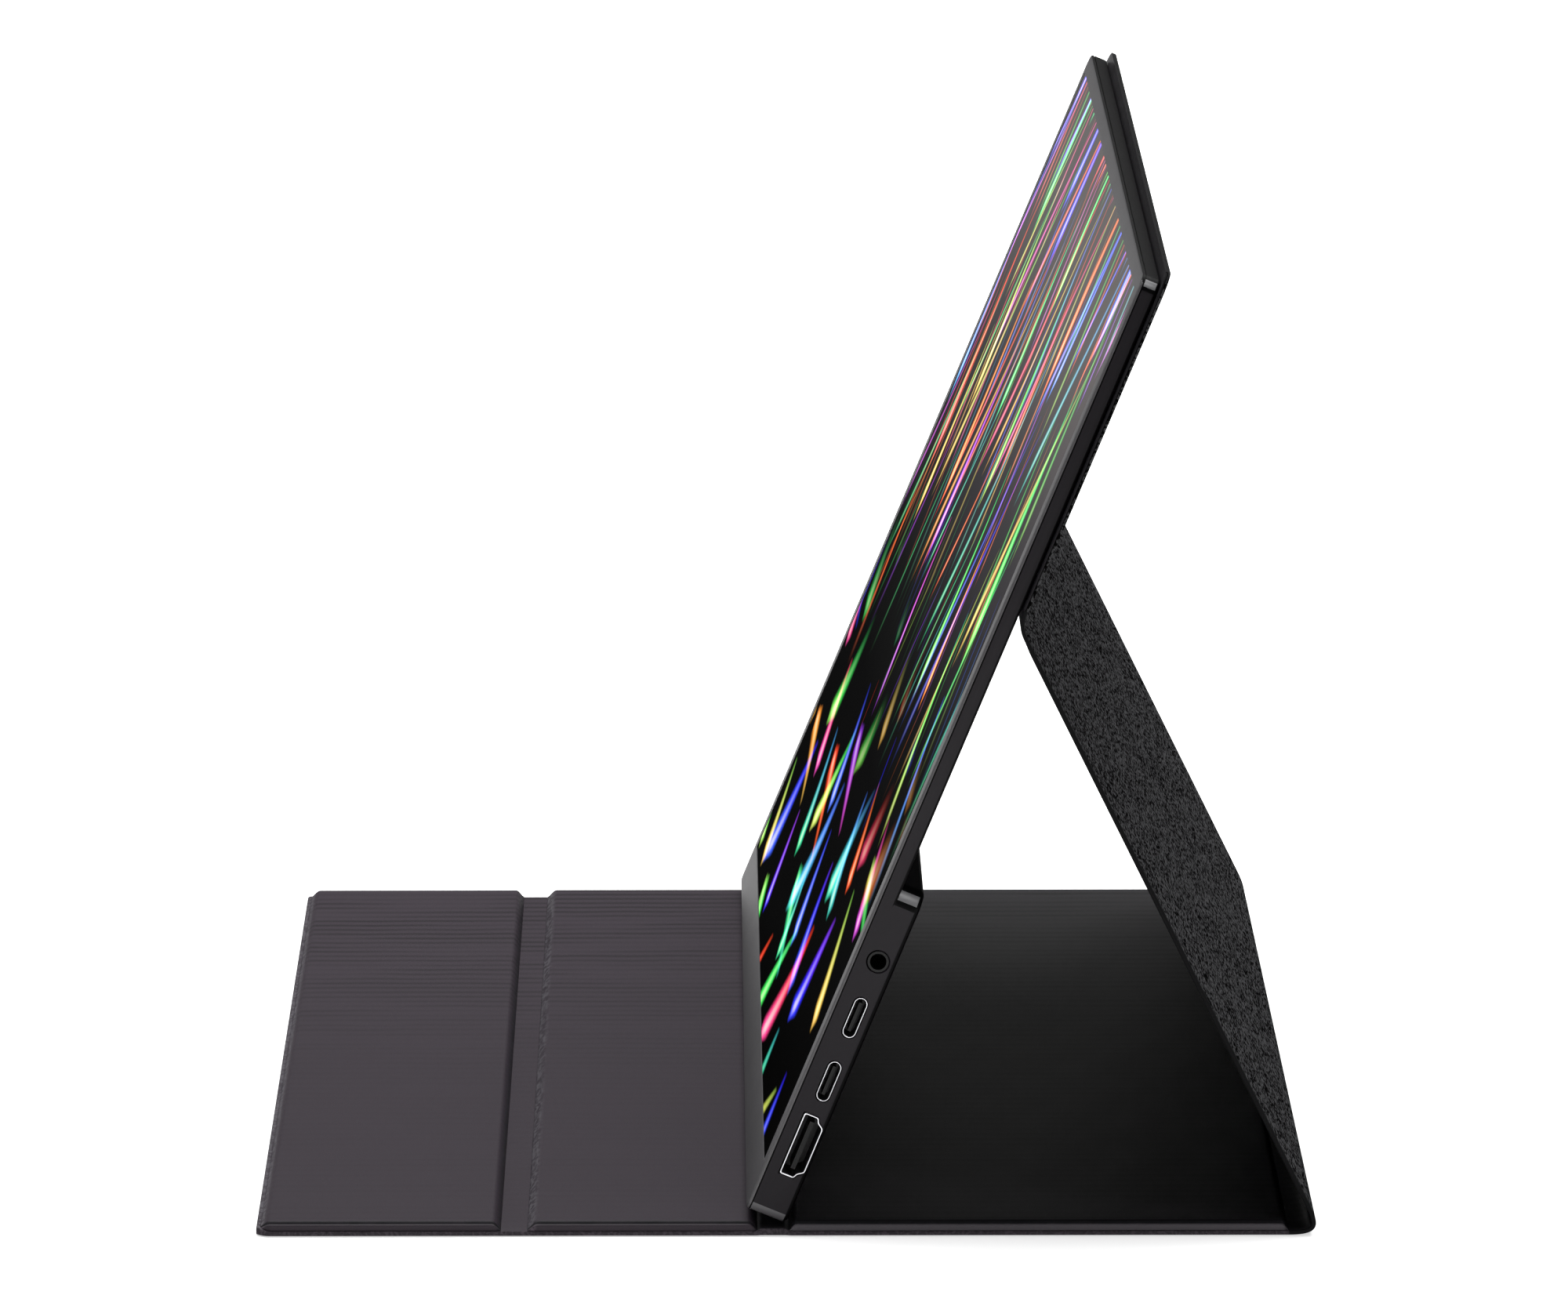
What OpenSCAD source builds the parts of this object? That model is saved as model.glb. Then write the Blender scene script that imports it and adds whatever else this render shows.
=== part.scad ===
// Portable monitor standing in its folding cover.
// Millimetres, +Z up. The screen faces -Y, the sockets are on the +X side,
// and the cover lies on the table (Z = 0) centred on the origin.

/* [Monitor] */
// Width of the monitor
mon_w = 356; // [340:1:370]
// Height of the monitor along its face
mon_h = 222.3; // [215:0.1:230]
// Thickness of the upper part
thin_t = 4.1; // [4.1:0.05:4.2]
// Thickness of the lower part that holds the electronics
thick_t = 9.5; // [9.5:0.1:10]
// Height of the thick lower part
hump_h = 79; // [70:1:90]
// Lean of the screen from the vertical, in degrees
lean = 22.6; // [22.3:0.1:22.9]
// Side border beside the picture
side_border = 6; // [5:0.5:9]
// Border above the picture
top_border = 4.5; // [4:0.5:8]
// Border below the picture
chin = 10.3; // [9.5:0.1:14]

/* [Cover] */
// Width of the cover
cover_w = 360; // [358:1:364]
// Thickness of the outer fabric
fabric_t = 0.5; // [0.4:0.1:0.6]
// Thickness of the stiffening boards
board_t = 2.1; // [1.8:0.1:2.1]
// Thickness of the inner lining
lining_t = 0.5; // [0.4:0.1:0.5]
// Angle of the leg from the table, measured from the +Y side, in degrees
leg_angle = 116.3; // [115.8:0.1:116.8]
// Length of the leg panel
leg_len = 137.3; // [134:0.1:138]
// Thickness of the leg's stiffening sheet
leg_board_t = 0.5; // [0.4:0.1:0.6]
// Overhang of the back panel past the monitor's top edge
top_overhang = 2.3; // [1:0.1:4]

/* [Sockets and keys] */
// Height of the headphone socket above the lower edge
jack_u = 61.7; // [58:0.1:64]
// Height of the upper small socket
oval_a_u = 48.3; // [46:0.1:50]
// Height of the lower small socket
oval_b_u = 33.1; // [31:0.1:35]
// Height of the large socket
video_u = 17.5; // [17:0.1:18]
// Height of the power key
power_u = 62; // [60:0.5:64]
// Height of the middle of the menu rocker
rocker_u = 43; // [42:0.5:44]
// Width of the keys
key_w = 2.6; // [2.2:0.1:2.8]

/* [Hidden] */
// where the panels of the cover begin and end, from the free edge to the spine
free_y = -115;
flap_a = -113.2;
flap_b = -62.0;
flap_c = -55.4;
flap_d = -6.3;
base_a = 1.4;
base_b = 109.7;
hx = cover_w / 2;
gutter_t = 1.0;
groove_t = 1.6;
panel_t = fabric_t + board_t + lining_t;
// lower front corner of the monitor
fb = [-8.5, 5.6];
// lower outer corner of the leg panel
leg_o = [113.5, 8.24];
leg_skin = 0.3;
leg_t = 2 * leg_skin + leg_board_t;
back_gap = 0.2;
back_t = 1.2;
back_w = thin_t + back_gap + back_t;
mx = mon_w / 2;
corner_r = 3.5;
wall = 1.6;
bezel_t = 1.2;
jack_w = 5.45;
oval_a_w = 5.6;
oval_b_w = 5.8;
video_w = 6.2;
key_mid = 5.8;
// directions in the Y-Z plane
up = [sin(lean), cos(lean)];
back = [cos(lean), -sin(lean)];
leg_d = [cos(leg_angle), sin(leg_angle)];
leg_in = [-sin(leg_angle), cos(leg_angle)];
// a point of the monitor's section: depth w from the front, height u
function pt(w, u) = fb + w * back + u * up;
function lerp(a, b, t) = a + (b - a) * t;
function bez(p, q, r, s, t) =
    lerp(lerp(lerp(p, q, t), lerp(q, r, t), t), lerp(lerp(q, r, t), lerp(r, s, t), t), t);
function bez_d(p, q, r, s, t) =
    lerp(lerp(q - p, r - q, t), lerp(r - q, s - r, t), t);
function unit(v) = v / norm(v);
// the left-hand normal of a direction
function left(v) = [-v[1], v[0]];
// a closed band of one thickness along a cubic curve, on the curve's left
function band(p, q, r, s, t, n = 14) = concat(
    [for (i = [0:n]) bez(p, q, r, s, i / n)],
    [for (i = [n:-1:0]) bez(p, q, r, s, i / n) + t * left(unit(bez_d(p, q, r, s, i / n)))]);
// height on the back panel where its plate begins
back_u = 145.5;
spine = [[base_b, 0], [117.1, 0], leg_o - 6.5 * leg_d, leg_o];
leg_top = leg_o + leg_len * leg_d;
back_foot = pt(back_w, back_u);
fold = [leg_top + 0.05 * leg_d, leg_top + 3 * leg_d, back_foot - 2.8 * up, back_foot - 0.05 * up];

// ---------- frames ----------
// monitor: X as the row, Y is the depth behind the front face, Z runs up the face
module in_monitor() translate([0, fb[0], fb[1]]) rotate([-lean, 0, 0]) children();
// leg: Y runs up the leg, Z points to the inner side
module in_leg() translate([0, leg_o[0], leg_o[1]]) rotate([leg_angle, 0, 0]) children();
// back panel: Y runs up the panel, Z points to the monitor
module in_back() translate([0, pt(back_w, 0)[0], pt(back_w, 0)[1]]) rotate([90 - lean, 0, 0]) children();
// an outline drawn in Y and Z, spread along X
module along_x(x0, x1) translate([x0, 0, 0]) rotate([90, 0, 90]) linear_extrude(x1 - x0) children();
module box(a, b) translate(a) cube(b - a);

// ---------- panels ----------
// plate outline from y0 to y1, with rounded corners of radius r0 at y0 and r1 at y1
module outline(h, y0, y1, r0 = 0, r1 = 0) {
    translate([-h, y0 + r0]) square([2 * h, y1 - y0 - r0 - r1]);
    if (r0 > 0) {
        translate([-h + r0, y0]) square([2 * (h - r0), r0 + 0.01]);
        for (s = [-1, 1]) translate([s * (h - r0), y0 + r0]) circle(r = r0, $fn = 48);
    }
    if (r1 > 0) {
        translate([-h + r1, y1 - r1 - 0.01]) square([2 * (h - r1), r1 + 0.01]);
        for (s = [-1, 1]) translate([s * (h - r1), y1 - r1]) circle(r = r1, $fn = 48);
    }
}
module fabric(y0, y1, r0 = 0, r1 = 0)
    linear_extrude(fabric_t) outline(hx, y0, y1, r0, r1);
module board(y0, y1)
    box([-hx + 1, y0 + 0.6, fabric_t], [hx - 1, y1 - 0.6, fabric_t + board_t]);
module lining(y0, y1)
    difference() {
        box([-hx + 0.4, y0, fabric_t], [hx - 0.4, y1, panel_t]);
        translate([0, 0, -1]) box([-hx + 1, y0 + 0.6, fabric_t], [hx - 1, y1 - 0.6, fabric_t + board_t + 1]);
    }

// ---------- base ----------
module base_fabric() color([0.17, 0.17, 0.18]) fabric(base_a, base_b);
module base_board() color([0.5, 0.48, 0.44]) board(base_a, base_b);
module base_lining() color([0.12, 0.11, 0.12]) lining(base_a, base_b);
module groove_strip() color([0.2, 0.19, 0.21])
    box([-hx, flap_d, 0], [hx, base_a, groove_t]);
module spine_strip() color([0.17, 0.17, 0.18])
    along_x(-hx, hx) polygon(band(spine[0], spine[1], spine[2], spine[3], gutter_t));

// ---------- flaps ----------
module inner_flap_fabric() color([0.17, 0.17, 0.18]) fabric(flap_c, flap_d);
module inner_flap_board() color([0.5, 0.48, 0.44]) board(flap_c, flap_d);
module inner_flap_lining() color([0.26, 0.24, 0.26]) lining(flap_c, flap_d);
module crease_strip() color([0.26, 0.24, 0.26])
    box([-hx, flap_b, 0], [hx, flap_c, gutter_t]);
// the outer fabric is turned up over the free edge
module outer_flap_fabric() color([0.17, 0.17, 0.18]) {
    difference() {
        linear_extrude(panel_t) outline(hx, free_y, flap_b, 3, 0);
        box([-hx - 1, flap_a, fabric_t], [hx + 1, flap_b + 1, panel_t + 1]);
    }
}
magnet_x = [-135, -60, 60, 135];
module flap_magnet(x, grow = 0)
    box([x - 12 - grow, -106, 0.9], [x + 12 + grow, -97, 2.3 + grow]);
module outer_flap_board() color([0.5, 0.48, 0.44])
    difference() {
        board(flap_a, flap_b);
        for (x = magnet_x) flap_magnet(x, 0.1);
    }
module flap_magnets() color([0.7, 0.7, 0.72])
    for (x = magnet_x) flap_magnet(x);
module outer_flap_lining() color([0.26, 0.24, 0.26]) lining(flap_a, flap_b);

// ---------- leg ----------
module leg_fabric() color([0.2, 0.2, 0.21]) in_leg()
    linear_extrude(leg_skin) outline(hx, 0, leg_len);
module leg_board() color([0.5, 0.48, 0.44]) in_leg()
    box([-hx + 1, 0.6, leg_skin], [hx - 1, leg_len - 0.6, leg_skin + leg_board_t]);
module leg_lining() color([0.2, 0.19, 0.21]) in_leg() difference() {
    box([-hx + 0.4, 0, leg_skin], [hx - 0.4, leg_len, leg_t]);
    box([-hx + 1, 0.6, 0], [hx - 1, leg_len - 0.6, leg_skin + leg_board_t]);
}
module fold_strip() color([0.2, 0.2, 0.21])
    along_x(-hx, hx) polygon(band(fold[0], fold[1], fold[2], fold[3], 0.9));

// ---------- back panel ----------
back_top = mon_h + top_overhang;
module back_outline(inset = 0)
    outline(hx - inset, back_u + inset, back_top - inset, 0, 5);
module back_panel_fabric() color([0.2, 0.2, 0.21])
    in_back() linear_extrude(0.5) back_outline();
back_magnet_x = [-150, -90, -30, 30, 90, 150];
module back_magnets(grow = 0)
    for (x = back_magnet_x, v = [168, 206])
        translate([0, 0, -grow]) box([x - 10 - grow, v - 5 - grow, 0.5], [x + 10 + grow, v + 5 + grow, 0.95 + 2 * grow]);
module back_panel_plate() color([0.55, 0.55, 0.57])
    in_back() difference() {
        translate([0, 0, 0.5]) linear_extrude(0.45) back_outline(1);
        back_magnets(0.05);
    }
module back_panel_magnets() color([0.7, 0.7, 0.72]) in_back() back_magnets();
module back_panel_lining() color([0.12, 0.11, 0.12])
    in_back() translate([0, 0, 0.95]) linear_extrude(0.25) back_outline(0.3);

// ---------- monitor: shells ----------
// rounded plate in the monitor's frame, from depth w0 to w1
module face_plate(h, u0, u1, r, w0, w1)
    translate([0, w0, 0]) mirror([0, 1, 0]) rotate([90, 0, 0]) linear_extrude(w1 - w0) outline(h, u0, u1, r, r);
module mbox(x0, x1, w0, w1, u0, u1) box([x0, w0, u0], [x1, w1, u1]);

module front_bezel() color([0.2, 0.2, 0.22]) in_monitor() difference() {
    union() {
        face_plate(mx - 0.4, 0.4, mon_h - 0.4, corner_r - 0.4, 0, 0.5);
        face_plate(mx, 0, mon_h, corner_r, 0.4, bezel_t);
    }
    mbox(-mx + side_border, mx - side_border, -1, 3, chin, mon_h - top_border);
}
module screen_film() color([0.05, 0.05, 0.07]) in_monitor()
    mbox(-mx + side_border + 0.1, mx - side_border - 0.1, 0.15, 0.45, chin + 0.1, mon_h - top_border - 0.1);
module lcd_cell() color([0.1, 0.12, 0.16]) in_monitor()
    mbox(-mx + side_border + 0.1, mx - side_border - 0.1, 0.45, 1.35, chin + 0.1, mon_h - top_border - 0.1);
module backlight() color([0.9, 0.9, 0.88]) in_monitor()
    mbox(-mx + side_border - 1, mx - side_border + 1, 1.35, 2.7, chin - 0.8, mon_h - top_border + 0.5);
module led_bar() color([0.85, 0.8, 0.5]) in_monitor()
    mbox(-165, 165, 1.55, 2.7, chin - 4.2, chin - 0.9);
module steel_plate() color([0.6, 0.6, 0.62]) in_monitor()
    mbox(-165, 165, 2.8, 3.1, 150, 214);

// D-shaped outline of the large socket: u along X, w along Y, wide side at the front
module video_outline(g = 0)
    polygon([[-7.0 - g, -2.28 - g], [7.0 + g, -2.28 - g], [7.0 + g, 0.75 + 0.3 * g],
             [5.5 + 0.7 * g, 2.28 + g], [-5.5 - 0.7 * g, 2.28 + g], [-7.0 - g, 0.75 + 0.3 * g]]);
// stadium outline: u along X, w along Y
module slot_outline(l, d) {
    square([l - d, d], center = true);
    for (s = [-1, 1]) translate([s * (l - d) / 2, 0]) circle(d = d, $fn = 40);
}
// an outline drawn as (u, w), placed at depth w and height u, from x0 to x1
module side_cut(w, u, x0, x1)
    translate([x0, w, u]) rotate([0, -90, 0]) mirror([0, 0, 1]) linear_extrude(x1 - x0) children();

// screws that hold the main board, as [x, u]
screw_at = [[72, 10], [72, 64], [150, 64], [110, 38]];
// pivot of the menu rocker
pivot_x = -mx + 2.4;
speaker_x = 40.5;
module rear_shell() color([0.13, 0.13, 0.14]) in_monitor() difference() {
    union() {
        face_plate(mx, 0, mon_h, corner_r, bezel_t, thin_t);
        face_plate(mx, 0, hump_h, corner_r, bezel_t, thick_t);
    }
    // room for the display stack
    mbox(-mx + wall, mx - wall, bezel_t - 1, 3.1, wall, mon_h - wall);
    // room for the electronics
    mbox(-mx + wall, mx - wall, 3.0, thick_t - 0.7, wall, hump_h - wall);
    // sockets, +X side
    translate([mx - wall - 1, jack_w, jack_u]) rotate([0, 90, 0]) cylinder(r = 2.35, h = wall + 2, $fn = 64);
    side_cut(oval_a_w, oval_a_u, mx - wall - 1, mx + 1) slot_outline(9.54, 3.16);
    side_cut(oval_b_w, oval_b_u, mx - wall - 1, mx + 1) slot_outline(9.54, 3.16);
    side_cut(video_w, video_u, mx - wall - 1, mx + 1) video_outline(0.35);
    // keys, -X side
    side_cut(key_mid, power_u, -mx - 1, -mx + wall + 1) slot_outline(8.6, key_w + 0.6);
    side_cut(key_mid, rocker_u, -mx - 1, -mx + wall + 1) slot_outline(16.8, key_w + 0.6);
    // sound slots through the back of the thick part
    for (s = [-1, 1], i = [0:9])
        mbox(s * speaker_x - 13.5 + i * 3 - 0.5, s * speaker_x - 13.5 + i * 3 + 0.5, thick_t - 2, thick_t + 1, 10, 17);
}

// ---------- monitor: electronics ----------
// moulded frame with the posts that the main board is screwed to
module board_frame() color([0.09, 0.09, 0.09]) in_monitor() difference() {
    union() {
        mbox(64, 160, 8.2, 8.7, 4, 70);
        for (p = screw_at) translate([p[0], 4.5, p[1]]) rotate([-90, 0, 0]) cylinder(r = 2.4, h = 3.8, $fn = 48);
    }
    mbox(80, 100, 8, 9, 14, 32);
    mbox(118, 142, 8, 9, 14, 58);
    for (p = screw_at) translate([p[0], 4, p[1]]) rotate([-90, 0, 0]) cylinder(r = 1.02, h = 3.6, $fn = 48);
}
// bracket whose two bars hold the rocker's pivot
module key_bracket() color([0.09, 0.09, 0.09]) in_monitor() difference() {
    union() {
        mbox(-mx + wall + 0.1, -168, 8.2, 8.7, rocker_u - 10.6, rocker_u + 10.6);
        mbox(-mx + wall + 0.1, pivot_x + 1.2, key_mid + 1.7, 8.3, rocker_u - 1.6, rocker_u + 1.6);
        mbox(-mx + wall + 0.1, pivot_x + 1.2, key_mid - 2.7, key_mid - 1.7, rocker_u - 10.6, rocker_u + 10.6);
        for (e = [-1, 1])
            mbox(-mx + wall + 0.1, pivot_x + 1.2, key_mid - 2.7, 8.3,
                 rocker_u + e * 9.9 - 0.7, rocker_u + e * 9.9 + 0.7);
    }
    translate([pivot_x, key_mid - 3, rocker_u]) rotate([-90, 0, 0]) cylinder(r = 0.86, h = 6, $fn = 48);
}
module main_board() color([0.05, 0.3, 0.15]) in_monitor() difference() {
    union() {
        mbox(60, 174, 3.4, 4.4, 5, 70);
        mbox(92, 106, 4.4, 5.7, 44, 58);
        mbox(126, 134, 4.4, 5.6, 20, 28);
        mbox(138, 145, 4.4, 6.6, 42, 49);
        mbox(98, 127, 4.4, 4.6, 6, 12);
        mbox(78, 84, 4.4, 6.2, 24, 30);
    }
    // cut-outs that the sockets sit in
    mbox(164.9, 175, 3, 5, jack_u - 3.05, jack_u + 3.05);
    mbox(169.9, 175, 3, 5, oval_a_u - 4.8, oval_a_u + 4.8);
    mbox(169.9, 175, 3, 5, oval_b_u - 4.8, oval_b_u + 4.8);
    mbox(165.9, 175, 3, 5, video_u - 7.35, video_u + 7.35);
    for (p = screw_at) translate([p[0], 3, p[1]]) rotate([-90, 0, 0]) cylinder(r = 1.15, h = 4, $fn = 48);
}
module board_screws() color([0.7, 0.7, 0.7]) in_monitor()
    for (p = screw_at) translate([p[0], 0, p[1]]) rotate([-90, 0, 0]) {
        translate([0, 0, 3.3]) cylinder(r = 1.0, h = 3.9, $fn = 48);
        translate([0, 0, 2.8]) cylinder(r = 1.9, h = 0.6, $fn = 48);
    }
module button_board() color([0.05, 0.3, 0.15]) in_monitor() {
    mbox(-171, -160, 3.4, 4.4, 30, 70);
    // the switches behind the keys
    for (u = [power_u, rocker_u - 6, rocker_u + 6]) {
        mbox(-172.6, -169, 4.4, 7.2, u - 2, u + 2);
        mbox(-mx + 3.7, -172.6, 5.2, 6.4, u - 0.8, u + 0.8);
    }
}
module display_cable() color([0.75, 0.5, 0.15]) in_monitor() {
    mbox(100, 125, 1.22, 1.34, 2.4, chin + 0.1);
    mbox(100, 125, 1.22, 4.72, 2.4, 2.52);
    mbox(100, 125, 4.6, 4.72, 2.4, 12);
}
module speaker(x) in_monitor() {
    mbox(x - 17, x + 17, 4.0, 8.4, 5, 20);
    mbox(x - 14.5, x + 14.5, 8.4, 8.8, 7, 18.5);
}
module speaker_left() color([0.1, 0.1, 0.1]) speaker(-speaker_x);
module speaker_right() color([0.1, 0.1, 0.1]) speaker(speaker_x);

// ---------- monitor: sockets ----------
module video_socket_shell() color([0.7, 0.7, 0.72]) in_monitor() difference() {
    side_cut(video_w, video_u, mx - 12, mx - 0.05) video_outline(0.3);
    side_cut(video_w, video_u, mx - 11.4, mx + 1) video_outline(0);
}
module video_socket_tongue() color([0.06, 0.06, 0.06]) in_monitor()
    mbox(mx - 11.4, mx - 1.4, video_w - 0.6, video_w + 0.4, video_u - 5.6, video_u + 5.6);
module oval_shell(w, u) in_monitor() difference() {
    side_cut(w, u, mx - 8, mx - 0.05) slot_outline(9.44, 3.06);
    side_cut(w, u, mx - 7.4, mx + 1) slot_outline(8.94, 2.56);
}
module oval_tongue(w, u) in_monitor()
    mbox(mx - 7.4, mx - 1.0, w - 0.35, w + 0.35, u - 3.35, u + 3.35);
module oval_upper_shell() color([0.7, 0.7, 0.72]) oval_shell(oval_a_w, oval_a_u);
module oval_upper_tongue() color([0.06, 0.06, 0.06]) oval_tongue(oval_a_w, oval_a_u);
module oval_lower_shell() color([0.7, 0.7, 0.72]) oval_shell(oval_b_w, oval_b_u);
module oval_lower_tongue() color([0.06, 0.06, 0.06]) oval_tongue(oval_b_w, oval_b_u);
module audio_jack() color([0.08, 0.08, 0.08]) in_monitor() difference() {
    union() {
        translate([mx - 13, jack_w, jack_u]) rotate([0, 90, 0]) cylinder(r = 2.3, h = 13, $fn = 64);
        mbox(mx - 13, mx - 2, jack_w - 2, jack_w + 2.4, jack_u - 3, jack_u + 3);
    }
    translate([mx - 12.5, jack_w, jack_u]) rotate([0, 90, 0]) cylinder(r = 1.8, h = 14, $fn = 64);
}

// ---------- monitor: keys ----------
module power_button() color([0.16, 0.16, 0.17]) in_monitor() {
    side_cut(key_mid, power_u, -mx - 0.4, -mx + 3) slot_outline(8, key_w);
    side_cut(key_mid, power_u, -mx + 1.9, -mx + 2.7) slot_outline(10, key_w + 1.8);
}
module menu_rocker() color([0.16, 0.16, 0.17]) in_monitor() {
    side_cut(key_mid, rocker_u, -mx - 0.5, -mx + 3.1) slot_outline(16, key_w);
    translate([pivot_x, key_mid - 2.6, rocker_u]) rotate([-90, 0, 0]) cylinder(r = 0.8, h = 5.2, $fn = 48);
}

base_fabric();
base_board();
base_lining();
groove_strip();
spine_strip();
inner_flap_fabric();
inner_flap_board();
inner_flap_lining();
crease_strip();
outer_flap_fabric();
outer_flap_board();
outer_flap_lining();
flap_magnets();
leg_fabric();
leg_board();
leg_lining();
fold_strip();
back_panel_fabric();
back_panel_plate();
back_panel_magnets();
back_panel_lining();
front_bezel();
screen_film();
lcd_cell();
backlight();
led_bar();
steel_plate();
rear_shell();
board_frame();
key_bracket();
main_board();
button_board();
display_cable();
speaker_left();
speaker_right();
video_socket_shell();
video_socket_tongue();
oval_upper_shell();
oval_upper_tongue();
oval_lower_shell();
oval_lower_tongue();
audio_jack();
board_screws();
power_button();
menu_rocker();
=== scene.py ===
import bpy, bmesh, math
import numpy as np
from mathutils import Matrix, Vector


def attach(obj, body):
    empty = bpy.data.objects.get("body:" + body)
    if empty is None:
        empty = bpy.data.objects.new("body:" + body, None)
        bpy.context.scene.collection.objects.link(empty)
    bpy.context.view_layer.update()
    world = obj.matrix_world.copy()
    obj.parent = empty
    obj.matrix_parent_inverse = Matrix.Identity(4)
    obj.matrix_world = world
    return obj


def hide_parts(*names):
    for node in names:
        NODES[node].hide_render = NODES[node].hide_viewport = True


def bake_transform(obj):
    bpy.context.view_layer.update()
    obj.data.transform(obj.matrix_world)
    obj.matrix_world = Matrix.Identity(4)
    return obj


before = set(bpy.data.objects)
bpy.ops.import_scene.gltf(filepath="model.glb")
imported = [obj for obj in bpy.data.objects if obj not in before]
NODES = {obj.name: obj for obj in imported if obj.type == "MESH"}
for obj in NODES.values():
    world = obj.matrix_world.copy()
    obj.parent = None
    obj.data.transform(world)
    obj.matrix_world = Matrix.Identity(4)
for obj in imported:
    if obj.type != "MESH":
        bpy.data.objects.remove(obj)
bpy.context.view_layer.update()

# ------------------------------------------------------------------ sizes, in mm
HX = 180.0                      # half the cover's width
MX = 178.0                      # half the monitor's width
MON_H, THIN, THICK, HUMP = 222.3, 4.1, 9.5, 79.0
LEAN = math.radians(22.6)
FB = np.array((-8.5, 5.6))
UP = np.array((math.sin(LEAN), math.cos(LEAN)))
BACK = np.array((math.cos(LEAN), -math.sin(LEAN)))
LEG_A = math.radians(116.3)
LEG_D = np.array((math.cos(LEG_A), math.sin(LEG_A)))
LEG_O = np.array((113.5, 8.24))
LEG_LEN, LEG_T = 137.3, 1.1
BACK_U, BACK_W, BACK_TOP = 145.5, 5.5, 224.6
FREE_Y, FLAP_A, FLAP_B, FLAP_C, FLAP_D, BASE_A, BASE_B = -115.0, -113.2, -62.0, -55.4, -6.3, 1.4, 109.7
PANEL_T = 3.1
RIM = 1.0


def pt(w, u):
    return FB + w * BACK + u * UP


def left(v):
    return np.array((-v[1], v[0]))


def unit(v):
    return v / np.linalg.norm(v)


def bez(p, n):
    t = np.linspace(0, 1, n)[:, None]
    p = [np.array(q, float) for q in p]
    return (1 - t) ** 3 * p[0] + 3 * (1 - t) ** 2 * t * p[1] + 3 * (1 - t) * t ** 2 * p[2] + t ** 3 * p[3]


def smooth(a, b, x):
    t = np.clip((np.asarray(x, float) - a) / (b - a), 0, 1)
    return t * t * (3 - 2 * t)


# ------------------------------------------------------------------ mesh helpers
def make(name, verts, faces, mats=(), face_mats=None, smooth_angle=40, attrs=None):
    """verts in mm in the row frame."""
    me = bpy.data.meshes.new(name)
    me.from_pydata([tuple(float(c) * 0.001 for c in v) for v in verts], [], faces)
    me.validate()
    ob = bpy.data.objects.new(name, me)
    bpy.context.scene.collection.objects.link(ob)
    for m in mats:
        me.materials.append(m)
    if face_mats is not None:
        me.polygons.foreach_set("material_index", list(face_mats))
    if attrs:
        for k, vals in attrs.items():
            a = me.attributes.new(k, "FLOAT", "POINT")
            a.data.foreach_set("value", np.asarray(vals, np.float32))
    bm = bmesh.new()
    bm.from_mesh(me)
    bmesh.ops.recalc_face_normals(bm, faces=bm.faces)
    bm.to_mesh(me)
    bm.free()
    shade(ob, smooth_angle)
    return ob


def shade(ob, angle=40):
    me = ob.data
    me.polygons.foreach_set("use_smooth", [True] * len(me.polygons))
    bm = bmesh.new()
    bm.from_mesh(me)
    lim = math.radians(angle)
    for e in bm.edges:
        e.smooth = not (len(e.link_faces) == 2 and e.calc_face_angle(0) > lim)
    bm.to_mesh(me)
    bm.free()


def path_frames(path):
    path = np.asarray(path, float)
    d = np.gradient(path, axis=0)
    d /= np.linalg.norm(d, axis=1)[:, None]
    return path, np.stack((-d[:, 1], d[:, 0]), axis=1)


def sweep(name, path, ring, mats, width=None, attr=None, angle=50, normals=None):
    """A closed solid along a path in Y-Z. ring(i, s) gives [(x, off, material)] round the section,
    the same number of points at each station; off is measured along the path's left normal."""
    p, n = path_frames(path)
    if normals is not None:
        n = normals
    seg = np.r_[0, np.cumsum(np.linalg.norm(np.diff(p, axis=0), axis=1))]
    verts, faces, fm, av = [], [], [], []
    rings = [ring(i, seg[i], seg[-1]) for i in range(len(p))]
    m = len(rings[0])
    for i, r in enumerate(rings):
        for x, off, mat in r:
            q = p[i] + off * n[i]
            verts.append((x, q[0], q[1]))
            av.append(attr(seg[i], seg[-1], x, off) if attr else 0.0)
    for i in range(len(p) - 1):
        for j in range(m):
            k = (j + 1) % m
            faces.append((i * m + j, i * m + k, (i + 1) * m + k, (i + 1) * m + j))
            fm.append(rings[i][j][2])
    # end caps: the ring's two halves face each other
    half = m // 2
    for base in (0, (len(p) - 1) * m):
        for j in range(half - 1):
            a, b = base + j, base + j + 1
            c, d = base + m - 2 - j, base + m - 1 - j
            if len({a, b, c, d}) == 4:
                faces.append((a, b, c, d))
                fm.append(rings[0][j][2])
    return make(name, verts, faces, mats, fm, angle, {"edge": av} if attr else None)


def flat_ring(hx, t, nx=36, ne=7, top=1, low=0, side=0, z0=0.0):
    """Round-edged band section: outside (off 0) left to right, then inside back. Even point count."""
    r = t / 2
    out = []
    for j in range(nx + 1):
        out.append((-hx + r + (2 * hx - 2 * r) * j / nx, z0, low))
    for j in range(1, ne):
        a = -math.pi / 2 + math.pi * j / ne
        out.append((hx - r + r * math.cos(a), z0 + r + r * math.sin(a), side))
    half_extra = len(out)
    for j in range(nx + 1):
        out.append((hx - r - (2 * hx - 2 * r) * j / nx, z0 + t, top))
    for j in range(1, ne):
        a = math.pi / 2 + math.pi * j / ne
        out.append((-hx + r + r * math.cos(a), z0 + r + r * math.sin(a), side))
    # the face after point j takes point j's material: the last flat point starts the round edge
    out[nx] = out[nx][:2] + (side,)
    out[half_extra + nx] = out[half_extra + nx][:2] + (side,)
    # start in the middle of the left edge so that the cap pairs up
    k = (ne - 1) // 2 + 1
    return out[-k:] + out[:-k]


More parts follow.
